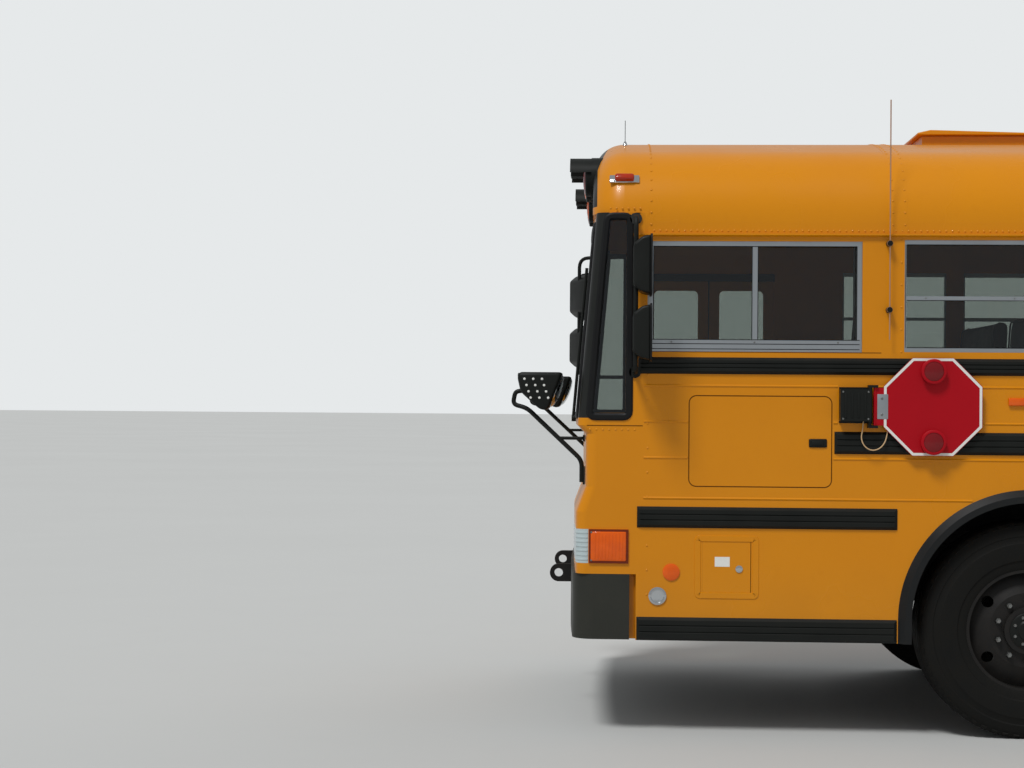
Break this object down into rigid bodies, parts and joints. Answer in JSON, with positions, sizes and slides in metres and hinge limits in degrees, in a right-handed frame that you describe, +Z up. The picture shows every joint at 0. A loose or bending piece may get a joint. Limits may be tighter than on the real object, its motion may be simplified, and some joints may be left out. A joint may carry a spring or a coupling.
{
  "type": "flat-nosed school bus with a rear engine",
  "caption": "Full-size yellow school bus with a flat front, split windows along both sides, black rub rails, a folding eight-sided stop arm and an inward entrance stair.",
  "frame": {"origin": "on the ground under the middle of the bus's bounding box", "axes": "+X forward, +Y to the driver's left, +Z up"},
  "size_m": [11.6428, 3, 2.99],
  "materials": {
    "yellow_enamel": "gloss enamel over pressed steel sheet",
    "black_enamel": "satin black enamel",
    "red_sheet": "red retroreflective sheet",
    "chassis_paint": "matt black chassis paint",
    "floor_rubber": "ribbed floor covering",
    "arch_rubber": "moulded rubber lip",
    "hatch_plastic": "painted lid",
    "window_aluminium": "mill finish frames",
    "window_glass": "tinted safety glass",
    "exhaust_steel": "dull steel",
    "tyre_rubber": "black tyre rubber",
    "wheel_paint": "black wheel paint",
    "lamp_lens": "moulded lenses",
    "seat_vinyl": "coated seat fabric",
    "dash_plastic": "moulded dash board",
    "cable_jacket": "pale cable jacket"
  },
  "bodies": {
    "coach": {"antennas": "black_enamel", "bench_seats": "seat_vinyl", "body_floor": "floor_rubber", "body_lamps": "lamp_lens", "chassis_frame": "chassis_paint", "cross_members": "chassis_paint", "dashboard": "dash_plastic", "driver_seat": "seat_vinyl", "engine_block": "chassis_paint", "engine_deck": "floor_rubber", "entrance_steps": "floor_rubber", "exhaust": "exhaust_steel", "front_axle": "chassis_paint", "front_bumper": "black_enamel", "front_cap": "yellow_enamel", "front_mask": "yellow_enamel", "fuel_tank": "chassis_paint", "leaf_springs": "chassis_paint", "left_side_wall": "yellow_enamel", "mirror_frames": "black_enamel", "rear_axle": "chassis_paint", "rear_bumper": "black_enamel", "rear_cap": "yellow_enamel", "rear_wall": "yellow_enamel", "right_side_wall": "yellow_enamel", "roof_shell": "yellow_enamel", "rub_rails": "black_enamel", "signal_cable": "cable_jacket", "stop_arm_box": "black_enamel", "warning_lamps": "black_enamel", "wheel_arch_trims": "arch_rubber", "wheelhouses": "floor_rubber", "window_frames": "window_aluminium", "window_glass": "window_glass", "windshield_frame": "yellow_enamel", "wipers": "black_enamel"},
    "knuckle_left": {"knuckle_left": "chassis_paint"},
    "knuckle_right": {"knuckle_right": "chassis_paint"},
    "tie_rod": {"tie_rod": "chassis_paint"},
    "wheel_front_left": {"rim_front_left": "wheel_paint", "tyre_front_left": "tyre_rubber"},
    "wheel_front_right": {"rim_front_right": "wheel_paint", "tyre_front_right": "tyre_rubber"},
    "wheel_rear_left": {"rims_rear_left": "wheel_paint", "tyres_rear_left": "tyre_rubber"},
    "wheel_rear_right": {"rims_rear_right": "wheel_paint", "tyres_rear_right": "tyre_rubber"},
    "entrance_leaf_front": {"entrance_door_front": "yellow_enamel", "entrance_glass_front": "window_glass"},
    "entrance_leaf_rear": {"entrance_door_rear": "yellow_enamel", "entrance_glass_rear": "window_glass"},
    "emergency_leaf": {"emergency_door": "yellow_enamel", "emergency_door_glass": "window_glass"},
    "engine_lid": {"engine_door": "yellow_enamel"},
    "access_lid": {"access_door": "yellow_enamel"},
    "service_lid": {"service_door": "yellow_enamel"},
    "stop_arm": {"stop_arm_blade": "red_sheet"},
    "hatch_front": {"roof_hatch_front": "hatch_plastic"},
    "hatch_rear": {"roof_hatch_rear": "hatch_plastic"}
  },
  "joints": [
    {"name": "steer_left", "type": "hinge", "parent": "coach", "child": "knuckle_left", "pos_m": [3.376, 0.86, 0.51], "axis": [0, 0, 1], "range_deg": [-30, 30]},
    {"name": "steer_right", "type": "hinge", "parent": "coach", "child": "knuckle_right", "pos_m": [3.376, -0.86, 0.51], "axis": [0, 0, 1], "range_deg": [-30, 30]},
    {"name": "tie_rod_swivel", "type": "hinge", "parent": "knuckle_left", "child": "tie_rod", "pos_m": [3.186, 0.86, 0.383], "axis": [0, 0, 1], "range_deg": [-30, 30]},
    {"name": "spin_front_left", "type": "hinge", "parent": "knuckle_left", "child": "wheel_front_left", "pos_m": [3.376, 1.035, 0.51], "axis": [0, 1, 0], "continuous": true},
    {"name": "spin_front_right", "type": "hinge", "parent": "knuckle_right", "child": "wheel_front_right", "pos_m": [3.376, -1.035, 0.51], "axis": [0, 1, 0], "continuous": true},
    {"name": "spin_rear_left", "type": "hinge", "parent": "coach", "child": "wheel_rear_left", "pos_m": [-2.614, 1.035, 0.51], "axis": [0, 1, 0], "continuous": true},
    {"name": "spin_rear_right", "type": "hinge", "parent": "coach", "child": "wheel_rear_right", "pos_m": [-2.614, -1.035, 0.51], "axis": [0, 1, 0], "continuous": true},
    {"name": "entrance_front_hinge", "type": "hinge", "parent": "coach", "child": "entrance_leaf_front", "pos_m": [5.1457, -1.219, 1.32], "axis": [0, 0, 1], "range_deg": [0, 90]},
    {"name": "entrance_rear_hinge", "type": "hinge", "parent": "coach", "child": "entrance_leaf_rear", "pos_m": [4.3763, -1.219, 1.32], "axis": [0, 0, -1], "range_deg": [0, 90]},
    {"name": "emergency_hinge", "type": "hinge", "parent": "coach", "child": "emergency_leaf", "pos_m": [0.4387, 1.219, 1.6], "axis": [0, 0, -1], "range_deg": [0, 100]},
    {"name": "engine_door_hinge", "type": "hinge", "parent": "coach", "child": "engine_lid", "pos_m": [-5.594, 0, 1.4297], "axis": [0, 1, 0], "range_deg": [0, 80]},
    {"name": "access_hinge", "type": "hinge", "parent": "coach", "child": "access_lid", "pos_m": [4.9717, 1.219, 1.39], "axis": [0, 0, -1], "range_deg": [0, 100]},
    {"name": "service_hinge", "type": "hinge", "parent": "coach", "child": "service_lid", "pos_m": [4.9037, 1.219, 0.8], "axis": [0, 0, -1], "range_deg": [0, 110]},
    {"name": "stop_arm_hinge", "type": "hinge", "parent": "coach", "child": "stop_arm", "pos_m": [4.109, 1.253, 1.558], "axis": [0, 0, -1], "range_deg": [0, 90]},
    {"name": "hatch_front_hinge", "type": "hinge", "parent": "coach", "child": "hatch_front", "pos_m": [3.776, 0, 2.95], "axis": [0, 1, 0], "range_deg": [0, 70]},
    {"name": "hatch_rear_hinge", "type": "hinge", "parent": "coach", "child": "hatch_rear", "pos_m": [-1.894, 0, 2.95], "axis": [0, 1, 0], "range_deg": [0, 70]}
  ],
  "couplings": [
    {"joint": "steer_right", "follows": "steer_left", "ratio": 1},
    {"joint": "tie_rod_swivel", "follows": "steer_left", "ratio": -1},
    {"joint": "entrance_rear_hinge", "follows": "entrance_front_hinge", "ratio": 1}
  ]
}
